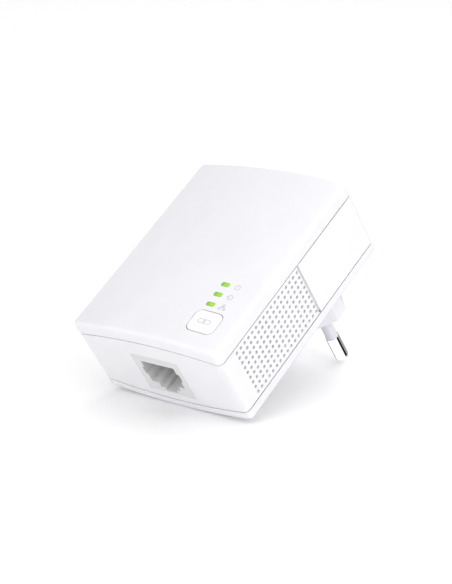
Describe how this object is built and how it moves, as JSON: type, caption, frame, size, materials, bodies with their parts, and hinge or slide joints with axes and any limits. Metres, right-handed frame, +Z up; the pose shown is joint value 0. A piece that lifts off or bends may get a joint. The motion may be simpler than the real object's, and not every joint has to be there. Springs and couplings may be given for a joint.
{
  "type": "powerline adapter",
  "caption": "Compact white plug-in powerline adapter: rounded box with Ethernet socket, pair button, status lamps, side grilles and a flat two-pin mains plug on its back.",
  "frame": {"origin": "centre of the plug's end face, midway between the two pins", "axes": "+Y the way the pins point, into the wall outlet; +Z up, along the case's height; +X to the right when looking at the front"},
  "size_m": [0.052, 0.0599, 0.065],
  "materials": {
    "cover_white": "satin gloss moulded plastic, pure white with a faint cool cast",
    "shell_white": "satin moulded plastic, white",
    "band_white": "gloss moulded plastic, white",
    "button_white": "satin moulded plastic, slightly whiter than the cover",
    "lamp_green": "tinted light guide, lit green",
    "led_chip": "moulded lamp chip",
    "switch_black": "moulded, matt",
    "plunger_plastic": "moulded, matt",
    "board_green": "glass fibre board with solder mask",
    "jack_grey": "moulded, fine matt, light grey",
    "contact_gold": "gold plated spring wire",
    "chip_black": "moulded epoxy",
    "pad_grey": "soft heat conducting pad",
    "spreader_alu": "brushed sheet",
    "crystal_can": "pressed can",
    "ferrite": "sintered, matt dark grey",
    "coil_tape": "polyester tape over the winding",
    "can_sleeve": "shrink sleeve over an aluminium can",
    "film_case": "moulded box",
    "disc_blue": "dipped coating",
    "varistor_coat": "dipped coating",
    "fuse_body": "ceramic tube with metal caps",
    "winding_copper": "enamelled copper wire",
    "pin_metal": "nickel plated, bright",
    "sleeve_white": "moulded insulating sleeve",
    "clip_brass": "stamped spring brass",
    "screw_steel": "zinc plated",
    "label_silver": "blank satin label"
  },
  "bodies": {
    "adapter": {"front_cover": "cover_white", "mid_shell": "shell_white", "trim_band": "band_white", "back_cover": "cover_white", "light_pipe": "lamp_green", "status_led_1": "led_chip", "status_led_2": "led_chip", "status_led_3": "led_chip", "pair_switch": "switch_black", "main_board": "board_green", "power_board": "board_green", "jack_housing": "jack_grey", "jack_contacts": "contact_gold", "lan_transformer": "chip_black", "powerline_chip": "chip_black", "thermal_pad": "pad_grey", "heat_spreader": "spreader_alu", "memory_chip": "chip_black", "flash_chip": "chip_black", "crystal": "crystal_can", "flyback_core": "ferrite", "flyback_bobbin": "switch_black", "flyback_coil": "coil_tape", "bulk_capacitor": "can_sleeve", "output_capacitor": "can_sleeve", "film_capacitor": "film_case", "disc_capacitor": "disc_blue", "varistor": "varistor_coat", "fuse": "fuse_body", "bridge_rectifier": "chip_black", "choke_core": "ferrite", "choke_winding": "winding_copper", "coupling_core": "ferrite", "coupling_winding": "winding_copper", "header_strip": "switch_black", "header_pins": "contact_gold", "plug_pin_left": "pin_metal", "plug_pin_right": "pin_metal", "pin_sleeve_left": "sleeve_white", "pin_sleeve_right": "sleeve_white", "pin_clip_left": "clip_brass", "pin_clip_right": "clip_brass", "case_screws": "screw_steel", "board_screws": "screw_steel", "rating_label": "label_silver"},
    "button": {"pair_button": "button_white"},
    "plunger": {"switch_plunger": "plunger_plastic"}
  },
  "joints": [
    {"name": "pair_press", "type": "slide", "parent": "adapter", "child": "button", "axis": [0, 1, 0], "range_m": [0, 0.0003], "stiffness_N_per_m": 3000, "springref_m": -0.0001},
    {"name": "switch_press", "type": "slide", "parent": "adapter", "child": "plunger", "axis": [0, 1, 0], "range_m": [0, 0.0003]}
  ],
  "couplings": [
    {"joint": "switch_press", "follows": "pair_press", "ratio": 1}
  ]
}
